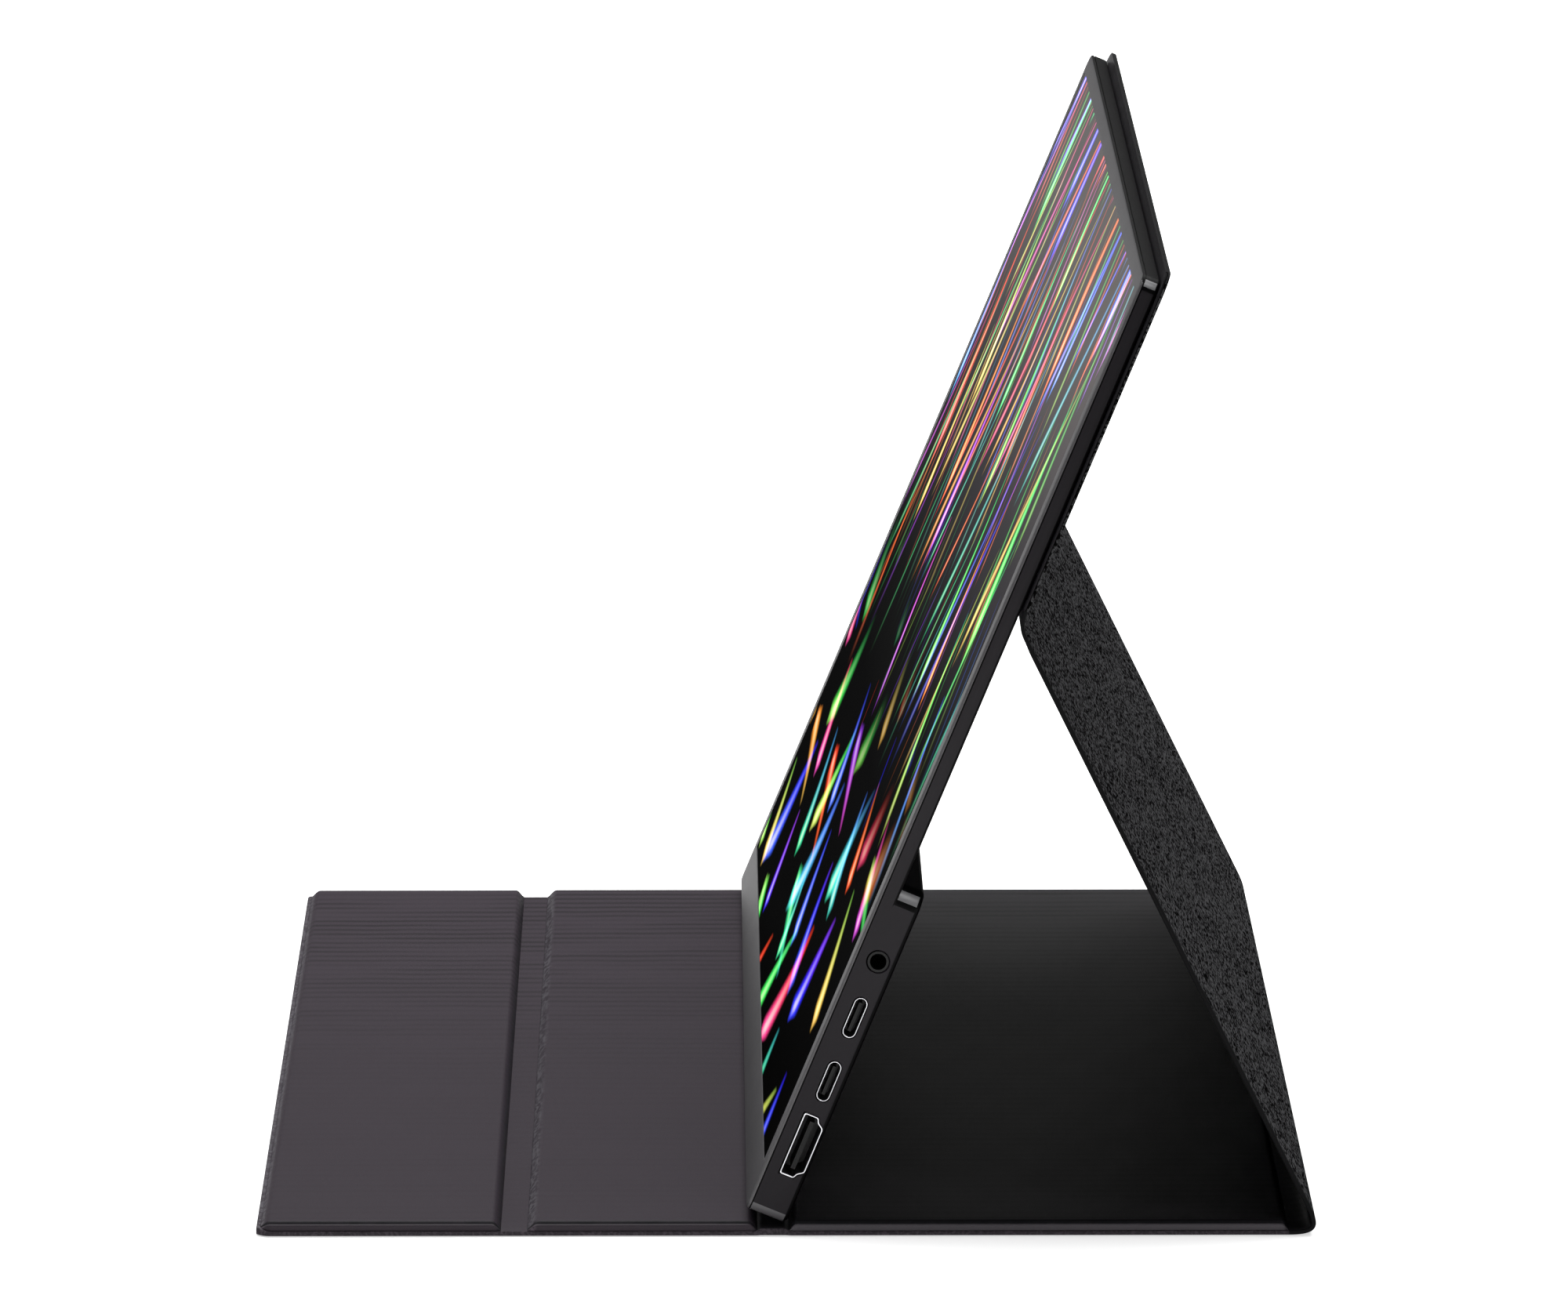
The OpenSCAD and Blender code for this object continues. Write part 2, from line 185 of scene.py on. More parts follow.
def rounded_rect(x0, x1, u0, u1, rad, n=10):
    """rad: one radius, or the lower pair's and the upper pair's."""
    lo, hi = rad if isinstance(rad, tuple) else (rad, rad)
    pts = []
    for cx, cu, a0, r in ((x1 - hi, u1 - hi, 0, hi), (x0 + hi, u1 - hi, 90, hi), (x0 + lo, u0 + lo, 180, lo), (x1 - lo, u0 + lo, 270, lo)):
        for k in range(n + 1):
            a = math.radians(a0 + 90 * k / n)
            pts.append((cx + r * math.cos(a), cu + r * math.sin(a)))
    return pts


def inset_rect(x0, x1, u0, u1, r, d, n=10):
    lo, hi = r if isinstance(r, tuple) else (r, r)
    return rounded_rect(x0 + d, x1 - d, u0 + d, u1 - d, (max(lo - d, 0.05), max(hi - d, 0.05)), n)


def mon(x, w, u):
    q = FB + w * BACK + u * UP
    return (x, q[0], q[1])


def loft(name, rings, mats=(), angle=40, cap=True, face_mat=None):
    """rings: lists of 3-D points, same count; closed loops joined in order."""
    verts = [p for r in rings for p in r]
    m = len(rings[0])
    faces, fm = [], []
    for i in range(len(rings) - 1):
        for j in range(m):
            k = (j + 1) % m
            faces.append((i * m + j, i * m + k, (i + 1) * m + k, (i + 1) * m + j))
            fm.append(face_mat[i] if face_mat else 0)
    if cap:
        faces.append(tuple(range(m)))
        faces.append(tuple(range((len(rings) - 1) * m, len(rings) * m)))
        fm += [0, 0]
    return make(name, verts, faces, mats, fm, angle)


def plate_rings(x0, x1, u0, u1, r, prof, n=10):
    """prof: (w, inset) pairs from front to back."""
    return [[mon(x, w, u) for x, u in inset_rect(x0, x1, u0, u1, r, d, n)] for w, d in prof]


def boolean(ob, tool, op):
    m = ob.modifiers.new("b", "BOOLEAN")
    m.operation, m.solver, m.object = op, "EXACT", tool
    apply_modifiers(ob)
    bpy.data.objects.remove(tool, do_unlink=True)


def apply_modifiers(ob):
    dg = bpy.context.evaluated_depsgraph_get()
    me = bpy.data.meshes.new_from_object(ob.evaluated_get(dg), preserve_all_data_layers=True, depsgraph=dg)
    old = ob.data
    ob.modifiers.clear()
    ob.data = me
    bpy.data.meshes.remove(old)


def prism_x(outline, w, u, x0, x1, flare=None):
    """A tool along X: outline gives (du, dw) for a growth g. flare: (x, growth) pairs."""
    rings = []
    for x, g in (flare or ((x0, 0), (x1, 0))):
        rings.append([mon(x, w + dw, u + du) for du, dw in outline(g)])
    return loft("tool", rings)


def slot_outline(length, depth, n=10):
    def f(g):
        r = depth / 2 + g
        h = (length - depth) / 2
        out = []
        for k in range(n + 1):
            a = math.radians(-90 + 180 * k / n)
            out.append((h + r * math.cos(a), r * math.sin(a)))
        for k in range(n + 1):
            a = math.radians(90 + 180 * k / n)
            out.append((-h + r * math.cos(a), r * math.sin(a)))
        return out
    return f


def d_outline(g):
    half = [(7.0 + g, 0.62 + 0.5 * g), (6.0 + 0.8 * g, 0.95 + 0.8 * g), (5.15 + 0.6 * g, 2.28 + g)]
    base = [(-7.0 - g, -2.28 - g), (7.0 + g, -2.28 - g)] + half + [(-a, b) for a, b in reversed(half)]
    out = []
    r = 0.45
    for i, p in enumerate(base):
        p = np.array(p)
        a, b = np.array(base[i - 1]), np.array(base[(i + 1) % len(base)])
        da, db = unit(a - p), unit(b - p)
        for k in range(4):
            t = k / 3
            q = p + da * min(r, 0.4 * np.linalg.norm(a - p)) * (1 - t) ** 2 + db * min(r, 0.4 * np.linalg.norm(b - p)) * t ** 2
            out.append((q[0], q[1]))
    return out


# ------------------------------------------------------------------ shader helpers
class G:
    def __init__(self, name):
        self.m = bpy.data.materials.new(name)
        self.m.use_nodes = True
        self.t = self.m.node_tree
        self.t.nodes.clear()
        self.out = self.t.nodes.new("ShaderNodeOutputMaterial")
        self.p = self.t.nodes.new("ShaderNodeBsdfPrincipled")
        self.t.links.new(self.p.outputs[0], self.out.inputs[0])
        self.co = None

    def n(self, kind, **kw):
        x = self.t.nodes.new("ShaderNode" + kind)
        for k, v in kw.items():
            setattr(x, k, v)
        return x

    def set(self, sock, v):
        if isinstance(v, bpy.types.NodeSocket):
            self.t.links.new(v, sock)
        else:
            if hasattr(sock.default_value, "__len__") and not hasattr(v, "__len__"):
                v = [v] * len(sock.default_value)
            if hasattr(sock.default_value, "__len__") and len(sock.default_value) == 4 and len(v) == 3:
                v = (*v, 1)
            sock.default_value = v

    def obj(self):
        if not self.co:
            self.co = self.n("TexCoord").outputs["Object"]
        return self.co

    def math(self, op, a, b=0.0, c=0.0, clamp=False):
        x = self.n("Math", operation=op, use_clamp=clamp)
        self.set(x.inputs[0], a)
        if len(x.inputs) > 1:
            self.set(x.inputs[1], b)
        if len(x.inputs) > 2:
            self.set(x.inputs[2], c)
        return x.outputs[0]

    def vec(self, x=0.0, y=0.0, z=0.0):
        v = self.n("CombineXYZ")
        for s, a in zip(v.inputs, (x, y, z)):
            self.set(s, a)
        return v.outputs[0]

    def scaled(self, v, s, loc=(0, 0, 0)):
        x = self.n("Mapping")
        self.set(x.inputs["Vector"], v)
        self.set(x.inputs["Scale"], s)
        self.set(x.inputs["Location"], loc)
        return x.outputs[0]

    def noise(self, v, scale, detail=3.0, rough=0.5, dist=0.0):
        x = self.n("TexNoise")
        self.set(x.inputs["Vector"], v)
        self.set(x.inputs["Scale"], scale)
        self.set(x.inputs["Detail"], detail)
        self.set(x.inputs["Roughness"], rough)
        self.set(x.inputs["Distortion"], dist)
        return x.outputs[0]

    def ramp(self, f, stops, interp="LINEAR"):
        x = self.n("ValToRGB")
        x.color_ramp.interpolation = interp
        el = x.color_ramp.elements
        while len(el) > 1:
            el.remove(el[-1])
        el[0].position, el[0].color = stops[0][0], (*stops[0][1], 1) if hasattr(stops[0][1], "__len__") else (*[stops[0][1]] * 3, 1)
        for pos, col in stops[1:]:
            e = el.new(pos)
            e.color = (*col, 1) if hasattr(col, "__len__") else (*[col] * 3, 1)
        self.set(x.inputs[0], f)
        return x.outputs[0]

    def mix(self, f, a, b, blend="MIX"):
        x = self.n("Mix", data_type="RGBA", blend_type=blend)
        self.set(x.inputs[0], f)
        self.set(x.inputs[6], a)
        self.set(x.inputs[7], b)
        return x.outputs[2]

    def remap(self, f, a, b, c=0.0, d=1.0, kind="SMOOTHSTEP"):
        x = self.n("MapRange", interpolation_type=kind)
        for i, v in enumerate((f, a, b, c, d)):
            self.set(x.inputs[i], v)
        return x.outputs[0]

    def attr(self, name):
        return self.n("Attribute", attribute_name=name).outputs["Fac"]

    def sep(self, v):
        x = self.n("SeparateXYZ")
        self.set(x.inputs[0], v)
        return x.outputs

    def bump(self, height, dist, strength=1.0, normal=None):
        x = self.n("Bump")
        self.set(x.inputs["Height"], height)
        self.set(x.inputs["Distance"], dist)
        self.set(x.inputs["Strength"], strength)
        if normal:
            self.set(x.inputs["Normal"], normal)
        return x.outputs[0]

    def fin(self, color=None, rough=None, normal=None, metal=0.0, **kw):
        if color is not None:
            self.set(self.p.inputs["Base Color"], color)
        if rough is not None:
            self.set(self.p.inputs["Roughness"], rough)
        if normal is not None:
            self.set(self.p.inputs["Normal"], normal)
        self.set(self.p.inputs["Metallic"], metal)
        for k, v in kw.items():
            self.set(self.p.inputs[k.replace("_", " ")], v)
        return self.m


def lining_material(name, colour, lines, sheen, rough=0.55, edge=1.6, spec=0.16):
    g = G(name)
    o = g.obj()
    # fine ribs that run across the cover, along Y
    x = g.sep(o)[0]
    drift = g.noise(g.scaled(o, (9, 5, 5)), 1.0, 2.0, 0.5)
    phase = g.math("MULTIPLY_ADD", x, 1 / 0.0052, g.math("MULTIPLY", drift, 0.9))
    wave = g.math("MULTIPLY_ADD", g.math("SINE", g.math("MULTIPLY", phase, 2 * math.pi)), 0.5, 0.5)
    broken = g.remap(g.noise(g.scaled(o, (70, 16, 5)), 1.0, 2.0, 0.5), 0.34, 0.60, 0.25, 1.0)
    ribs = g.math("MULTIPLY", g.math("POWER", wave, 1.5), broken)
    grain = g.noise(g.scaled(o, (1, 1, 1)), 2600, 2.0, 0.6)
    cloud = g.noise(o, 26, 3.0, 0.5)
    far = g.remap(x, 0.05, -0.13)
    k = g.math("MULTIPLY", g.math("SUBTRACT", 0.34, ribs), g.math("MULTIPLY_ADD", far, lines, lines * 0.10))
    k = g.math("ADD", k, g.math("MULTIPLY", g.math("SUBTRACT", grain, 0.5), 0.22))
    k = g.math("ADD", k, g.math("MULTIPLY", g.math("SUBTRACT", cloud, 0.5), 0.14))
    k = g.math("ADD", k, 1.0)
    base = g.mix(1.0, colour, g.vec(k, k, k), "MULTIPLY")
    # the pressed borders show lighter specks; the lift from the edge mask is also painted light on border walls that
    # face away from the lamps
    e = g.attr("edge")
    speck = g.remap(g.noise(g.scaled(o, (620, 900, 900)), 1.0, 1.0, 0.6), 0.42, 0.60)
    lit = g.mix(1.0, colour, edge if isinstance(edge, tuple) else (edge, edge, edge), "MULTIPLY")
    base = g.mix(g.math("MULTIPLY", e, g.math("MULTIPLY_ADD", speck, 0.78, 0.22)), base, lit)
    # painted shade: the crease mask darkens the groove beside the side roll and the foot of each panel, with a ragged
    # border
    ragged_shade_edge = g.math("MULTIPLY", g.math("SUBTRACT", g.noise(g.scaled(o, (300, 260, 260)), 1.0, 1.0, 0.5), 0.5), 0.9)
    dark = g.math("MULTIPLY", g.attr("crease"), g.math("ADD", 1.0, ragged_shade_edge), clamp=True)
    base = g.mix(dark, base, (0.004, 0.004, 0.005, 1))
    h = g.math("ADD", g.math("MULTIPLY", ribs, 0.25), g.math("MULTIPLY", grain, 0.6))
    h = g.math("ADD", h, g.math("MULTIPLY", g.math("MULTIPLY", speck, e), 0.8))
    return g.fin(base, g.math("MULTIPLY_ADD", grain, 0.12, rough), g.bump(h, 0.00009, 0.6),
                 Specular_IOR_Level=spec, Sheen_Weight=sheen, Sheen_Roughness=0.5)


def fabric_material(name, low, high, stretch=0.21, dark=0.0):
    g = G(name)
    o = g.obj()
    warp = g.n("VectorMath", operation="ADD")
    g.set(warp.inputs[0], o)
    jit = g.n("TexNoise")
    g.set(jit.inputs["Vector"], o)
    g.set(jit.inputs["Scale"], 300.0)
    sc = g.n("VectorMath", operation="SCALE")
    g.set(sc.inputs[0], jit.outputs["Color"])
    g.set(sc.inputs["Scale"], 0.0011)
    g.set(warp.inputs[1], sc.outputs[0])
    v = g.scaled(warp.outputs[0], (stretch, 1, 1))
    a = g.noise(v, 1750, 0.6, 0.5, 0.4)
    b = g.noise(v, 620, 1.0, 0.5)
    c = g.noise(g.scaled(o, (0.3, 1, 1)), 160, 3.0, 0.55)
    k = g.math("ADD", g.math("MULTIPLY", a, 0.80), g.math("MULTIPLY", b, 0.20))
    k = g.math("ADD", k, g.math("MULTIPLY", g.math("SUBTRACT", c, 0.5), 0.12))
    col = g.ramp(k, [(0.455, low), (0.48, tuple(0.3 * l + 0.20 * h for l, h in zip(low, high))),
                     (0.515, tuple(0.3 * l + 0.50 * h for l, h in zip(low, high))), (0.55, high)])
    # the weave itself, seen close up
    x, y, z = g.sep(o)
    wx = g.math("SINE", g.math("MULTIPLY", x, 2 * math.pi / 0.0011))
    run = g.math("ADD", y, z)
    wy = g.math("SINE", g.math("MULTIPLY", run, 2 * math.pi / 0.0011))
    weave = g.math("MULTIPLY_ADD", g.math("MULTIPLY", wx, wy), 0.5, 0.5)
    col = g.mix(g.math("MULTIPLY_ADD", weave, -0.16, 0.16), col, (0.0, 0.0, 0.0, 1))
    h = g.math("ADD", g.math("MULTIPLY", k, 0.7), g.math("MULTIPLY", weave, 0.3))
    return g.fin(col, 0.9, g.bump(h, 0.00022, 0.8), Specular_IOR_Level=0.0)


def plastic_material(name, colour, rough=0.5, grain=0.3, spec=0.4, scale=2200, metal=0.0, var=0.12):
    g = G(name)
    o = g.obj()
    a = g.noise(o, scale, 2.0, 0.6)
    b = g.noise(o, 35, 3.0, 0.5)
    k = g.math("MULTIPLY_ADD", g.math("SUBTRACT", b, 0.5), var * 2, 1.0)
    k = g.math("ADD", k, g.math("MULTIPLY", g.math("SUBTRACT", a, 0.5), var))
    col = g.mix(1.0, (*colour, 1), g.vec(k, k, k), "MULTIPLY")
    return g.fin(col, g.math("MULTIPLY_ADD", g.math("ADD", a, b), 0.08, rough - 0.08),
                 g.bump(a, 0.00003, grain), metal, Specular_IOR_Level=spec)


def metal_material(name, colour, rough=0.3, brush=(40, 900, 900)):
    g = G(name)
    o = g.obj()
    a = g.noise(g.scaled(o, brush), 1.0, 3.0, 0.6)
    k = g.math("MULTIPLY_ADD", a, 0.3, 0.85)
    col = g.mix(1.0, (*colour, 1), g.vec(k, k, k), "MULTIPLY")
    return g.fin(col, g.math("MULTIPLY_ADD", a, 0.2, rough - 0.1), g.bump(a, 0.00002, 0.3), 1.0)


def board_material(name):
    g = G(name)
    o = g.obj()
    a = g.noise(o, 500, 3.0, 0.6)
    b = g.remap(g.noise(g.scaled(o, (1, 1, 1)), 120, 0.0, 0.5), 0.52, 0.54)
    col = g.mix(b, (0.006, 0.05, 0.022, 1), (0.012, 0.085, 0.04, 1))
    col = g.mix(g.math("MULTIPLY", a, 0.2), col, (0.001, 0.01, 0.005, 1))
    return g.fin(col, 0.4, g.bump(b, 0.00004, 0.5), Specular_IOR_Level=0.4)


def screen_material():
    """A dark picture of falling coloured drops of light, made up for this part."""
    g = G("screen_picture")
    x, y, z = g.sep(g.obj())
    # height up the screen and place across it, in metres
    u = g.math("ADD", g.math("MULTIPLY", g.math("SUBTRACT", y, float(FB[0]) * 0.001), float(UP[0])),
               g.math("MULTIPLY", g.math("SUBTRACT", z, float(FB[1]) * 0.001), float(UP[1])))
    palette = [(0.0, (1.0, 0.04, 0.02)), (0.10, (1.0, 0.13, 0.02)), (0.22, (1.0, 0.34, 0.04)), (0.30, (0.95, 0.62, 0.12)),
               (0.38, (0.06, 0.80, 0.10)), (0.52, (0.04, 0.75, 0.32)), (0.62, (0.08, 0.22, 1.0)), (0.74, (0.03, 0.02, 1.0)),
               (0.82, (0.45, 0.06, 0.95)), (0.92, (1.0, 0.07, 0.38)), (1.0, (1.0, 0.04, 0.02))]
    total = None
    # way it runs, cells across, cells along, slant, width share, power, seed, share hidden, drift, shown from, to, fade
    layers = [("u", 36, 2.3, 0.16, 0.40, 0.9, 11.3, 0.05, 0.05, 0.090, 0.30, 0.07), ("u", 25, 2.0, -0.26, 0.36, 1.5, 4.7, 0.15, 0.08, 0.078, 0.30, 0.05),
              ("u", 14, 2.8, 0.05, 0.26, 2.4, 23.9, 0.35, 0.12, 0.066, 0.30, 0.04), ("u", 11, 6.5, 0.75, 0.40, 1.9, 7.1, 0.40, 0.12, -0.10, 0.105, 0.05),
              ("u", 9, 5.2, -0.60, 0.44, 2.2, 31.7, 0.52, 0.12, -0.10, 0.088, 0.04), ("x", 15, 5.0, 0.25, 0.40, 1.8, 17.9, 0.72, 0.03, -0.10, 0.095, 0.04)]
    sway = g.noise(g.vec(g.math("MULTIPLY", x, 4.0), g.math("MULTIPLY", u, 7.0), 0.3), 1.0, 1.0, 0.5)
    for way, across, rows, slant, width, power, seed, hidden, drift, lo, hi, fade in layers:
        bend = g.math("MULTIPLY", g.math("SUBTRACT", sway, 0.5), drift * 0.8)
        cross, run, size, reach = (x, u, 0.344, 0.2075) if way == "u" else (u, x, 0.2075, 0.344)
        q = g.math("MULTIPLY_ADD", g.math("ADD", g.math("MULTIPLY_ADD", run, slant, cross), bend), across / size, 300.0 + seed)
        col_id = g.math("FLOOR", q)
        b = g.math("SUBTRACT", g.math("FRACT", q), 0.5)
        wn = g.n("TexWhiteNoise", noise_dimensions="1D")
        g.set(wn.inputs["W"], col_id)
        v = g.math("ADD", g.math("MULTIPLY", run, rows / reach), g.math("MULTIPLY", wn.outputs["Value"], 9.0))
        row_id = g.math("FLOOR", v)
        a = g.math("FRACT", v)
        w2 = g.n("TexWhiteNoise", noise_dimensions="2D")
        g.set(w2.inputs["Vector"], g.vec(col_id, row_id, 0.0))
        r, r2, r3 = g.sep(w2.outputs["Color"])
        r4 = w2.outputs["Value"]
        # the drop: a round head low down and a long tail above it
        length = g.math("MULTIPLY_ADD", r, 0.50, 0.42)
        t = g.math("DIVIDE", g.math("SUBTRACT", a, 0.06), length)
        head = g.remap(t, -0.02, 0.16)
        tail = g.remap(t, 1.0, 0.12, 0.0, 1.0, "LINEAR")
        body = g.math("MULTIPLY", head, tail)
        off = g.math("MULTIPLY", g.math("SUBTRACT", r2, 0.5), 0.40)
        curve = g.math("MULTIPLY", g.math("MULTIPLY", g.math("SUBTRACT", r3, 0.5), g.math("POWER", g.math("SUBTRACT", a, 0.35), 2.0)), 1.2)
        d = g.math("ABSOLUTE", g.math("SUBTRACT", b, g.math("ADD", off, curve)))
        half = g.math("MULTIPLY", g.math("MULTIPLY_ADD", body, 0.75, 0.25), g.math("MULTIPLY_ADD", r, width * 0.5, width * 0.4))
        k = g.math("DIVIDE", d, half)
        glow = g.math("MULTIPLY", g.remap(k, 1.0, 0.15), g.math("POWER", body, 0.5))
        core = g.math("MULTIPLY", g.remap(k, 0.5, 0.05), g.math("POWER", body, 1.6))
        shown = g.math("GREATER_THAN", r4, hidden)
        zone = g.math("MULTIPLY", g.remap(u, lo, lo + fade), g.remap(u, hi, hi - fade))
        amount = g.math("MULTIPLY", g.math("MULTIPLY", glow, zone), g.math("MULTIPLY", shown, power))
        hue = g.ramp(g.math("FRACT", g.math("MULTIPLY_ADD", a, 0.10, g.math("MULTIPLY", r3, 3.7))), palette)
        hot = g.mix(g.math("MULTIPLY", core, 0.42), hue, (1.0, 0.90, 0.62, 1))
        layer = g.mix(1.0, hot, g.vec(amount, amount, amount), "MULTIPLY")
        total = layer if total is None else g.mix(1.0, total, layer, "ADD")
    ground = g.ramp(g.math("MULTIPLY", u, 4.5), [(0.20, (0.0, 0.0, 0.0)), (0.34, (0.0015, 0.0015, 0.0016)), (0.455, (0.009, 0.009, 0.009)), (0.51, (0.022, 0.021, 0.023)),
                                                  (0.565, (0.036, 0.034, 0.037)), (0.68, (0.070, 0.066, 0.071)), (0.73, (0.100, 0.094, 0.097)),
                                                  (0.785, (0.142, 0.132, 0.134)), (0.90, (0.20, 0.185, 0.184)), (1.0, (0.20, 0.19, 0.185))])
    total = g.mix(1.0, total, ground, "ADD")
    g.fin((0.0008, 0.0008, 0.0008, 1), 0.5, None, Specular_IOR_Level=0.0, Emission_Strength=SCREEN_POWER)
    g.set(g.p.inputs["Emission Color"], total)
    # a matte film: a faint even gloss with no bright glare at the edges
    gl = g.n("BsdfGlossy")
    g.set(gl.inputs["Roughness"], 0.35)
    g.set(gl.inputs["Color"], (0.5, 0.5, 0.5, 1))
    mx = g.n("MixShader")
    g.set(mx.inputs[0], 0.005)
    g.t.links.new(g.p.outputs[0], mx.inputs[1])
    g.t.links.new(gl.outputs[0], mx.inputs[2])
    g.t.links.new(mx.outputs[0], g.out.inputs[0])
    return g.m


SCREEN_POWER = 0.8

M = {}
M["lining"] = lining_material("flap_lining", (0.0182, 0.0140, 0.0186, 1), 0.62, 0.0, 0.5, (3.1, 3.75, 3.2), 0.05)
# painted shade: a darker copy of the flap lining for the base and the inside of the stand, which lie in shade
M["lining_base"] = lining_material("base_lining", (0.0078, 0.0072, 0.0085, 1), 1.5, 0.0, 0.36, (2.5, 2.6, 2.5), 0.070)
M["fabric"] = fabric_material("outer_fabric", (0.0015, 0.0015, 0.0015), (0.049, 0.049, 0.051))
# painted light: lighter copies of the lining for the panels' side walls, the base's side much lighter to make up for
# the monitor's shade
M["lining_side"] = lining_material("pressed_lining_side", (0.024, 0.0195, 0.024, 1), 0.1, 0.0, 0.5, 2.2, 0.08)
M["base_side"] = lining_material("pressed_base_side", (0.047, 0.043, 0.048, 1), 0.1, 0.0, 0.5, 1.3, 0.08)
# near-black colour for the cloth's side and top edges: painted shade
M["rim"] = plastic_material("fabric_edge_painted_shade", (0.0045, 0.0045, 0.0048), 0.8, 0.4, 0.05, 1500)
M["hem"] = fabric_material("hem_fabric", (0.030, 0.026, 0.030), (0.043, 0.037, 0.043), 0.3)
M["housing"] = plastic_material("housing_finish", (0.0075, 0.0062, 0.0079), 0.38, 0.25, 0.10)
# painted highlight: a lighter copy of the housing colour on the lower corner roundings
M["housing_edge_highlight"] = plastic_material("housing_corner_painted_highlight", (0.022, 0.021, 0.023), 0.24, 0.1, 0.5, 2200, 0.0, 0.03)
# painted shade: near-black colour on the up-facing top faces
M["housing_top_shaded"] = plastic_material("housing_top_painted_shade", (0.0022, 0.0021, 0.0023), 0.5, 0.1, 0.028)
# painted highlight: light grey on the middle of the upper corner roundings
M["housing_glint"] = plastic_material("housing_corner_painted_glint", (0.12, 0.12, 0.124), 0.36, 0.1, 0.6, 2200, 0.0, 0.03)
# painted reflection: lighter grey on the lower corner roundings
M["housing_foot_highlight"] = plastic_material("housing_foot_painted_reflection", (0.062, 0.060, 0.063), 0.5, 0.1, 0.3, 2200, 0.0, 0.03)
# painted highlight: lighter colour on the bezel's side edges
M["bezel_edge_highlight"] = plastic_material("bezel_side_painted_highlight", (0.052, 0.050, 0.053), 0.45, 0.2, 0.35)
# painted shade: near-black colour for bands beside the corner highlight, back-facing roundings and the groove behind
# the front frame
M["housing_shade"] = plastic_material("housing_painted_shade", (0.0008, 0.0008, 0.0009), 0.5, 0.1, 0.05)
M["bezel"] = plastic_material("bezel_finish", (0.021, 0.020, 0.022), 0.5, 0.3, 0.25)
M["key"] = plastic_material("key_plastic", (0.012, 0.012, 0.013), 0.38, 0.2, 0.45)
M["black"] = plastic_material("socket_plastic", (0.0042, 0.0042, 0.0042), 0.45, 0.2, 0.16)
M["frame_plastic"] = plastic_material("frame_plastic", (0.02, 0.02, 0.02), 0.5)
M["socket_metal"] = metal_material("socket_metal", (0.62, 0.62, 0.64), 0.32)
M["throat"] = plastic_material("socket_throat", (0.012, 0.012, 0.013), 0.45, 0.1, 0.3)
M["steel"] = metal_material("steel_sheet", (0.5, 0.5, 0.52), 0.38, (30, 400, 400))
M["magnet"] = metal_material("magnet_plating", (0.6, 0.6, 0.62), 0.25)
M["screw"] = metal_material("screw_steel", (0.6, 0.6, 0.6), 0.3)
M["stiffener"] = plastic_material("pressed_board", (0.30, 0.27, 0.22), 0.85, 0.8, 0.2, 900, 0.0, 0.4)
M["pcb"] = board_material("circuit_board")
M["cable"] = plastic_material("cable_film", (0.5, 0.25, 0.03), 0.35)
M["light_guide"] = plastic_material("light_guide", (0.8, 0.8, 0.78), 0.3)
M["led"] = plastic_material("led_strip", (0.6, 0.5, 0.2), 0.5)
M["cell"] = plastic_material("display_glass", (0.02, 0.025, 0.03), 0.12, 0.05, 0.5)
M["screen"] = screen_material()

for node, mat in {
    "leg_board": "stiffener",
    "flap_magnets": "magnet", "back_panel_magnets": "magnet", "back_panel_plate": "steel", "steel_plate": "steel",
    "screen_film": "screen", "lcd_cell": "cell", "backlight": "light_guide", "led_bar": "led", "board_frame": "frame_plastic",
    "key_bracket": "frame_plastic", "main_board": "pcb", "button_board": "pcb", "display_cable": "cable",
    "speaker_left": "frame_plastic", "speaker_right": "frame_plastic", "video_socket_shell": "socket_metal",
    "video_socket_tongue": "black", "oval_upper_shell": "socket_metal", "oval_upper_tongue": "black",
    "oval_lower_shell": "socket_metal", "oval_lower_tongue": "black", "audio_jack": "black", "board_screws": "screw",
}.items():
    me = NODES[node].data
    me.materials.clear()
    me.materials.append(M[mat])


def place(ob, body, slot, *nodes):
    if nodes:
        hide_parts(*nodes)
    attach(ob, body)
    return ob


# ------------------------------------------------------------------ cover
def stations(y0, y1, fine, coarse):
    """Stations from y0 to y1, close together within 'fine' of each end."""
    a = list(np.linspace(0, fine, 14))
    b = list(np.linspace(fine, (y1 - y0) - fine, coarse))[1:-1]
    c = [(y1 - y0) - t for t in reversed(a)]
    return [y0 + t for t in a + b + c]


def corner(d, r):
    """How much the half width shrinks at distance d from a rounded end."""
    if d >= r:
        return 0.0
    return r - math.sqrt(max(r * r - (r - d) ** 2, 0.0))


def lining_ring(hx, e, base=RIM, top=PANEL_T, nx=60, roll=1.0):
    """Section of the padded lining across X, at height share e."""
    k = top - base - 0.05
    side = [(-0.62, 0.0), (-0.60, 0.08), (-0.55, 0.24), (-0.50, 0.40), (-0.52, 0.56), (-0.66, 0.66), (-0.92, 0.68),
            (-1.10, 0.70), (-1.25, 0.82), (-1.50, 0.93), (-1.95, 0.985), (-2.8, 1.0)]
    right = [(hx + a, base + 0.05 + k * b * e, 0) for a, b in side]
    x1 = hx - 2.8
    topp = [(x1 - 2 * x1 * j / nx, base + 0.05 + k * e, 0) for j in range(1, nx)]
    leftp = [(-x, z, 0) for x, z, _ in reversed(right)]
    skin = 0.42
    hi = max(base + 0.05 + k * e - skin, base + 0.03)
    mid = base + 0.03 + 0.5 * (hi - base - 0.03)
    inner = [(-(hx - 1.55), base + 0.03, 0), (-(hx - 1.62), mid, 0), (-(hx - 2.3), hi, 0)]
    inner += [(-x1 + 2 * x1 * j / nx, hi, 0) for j in range(1, nx)]
    inner += [(-x, z, 0) for x, z, _ in reversed(inner[:3])]
    return right + topp + leftp + inner


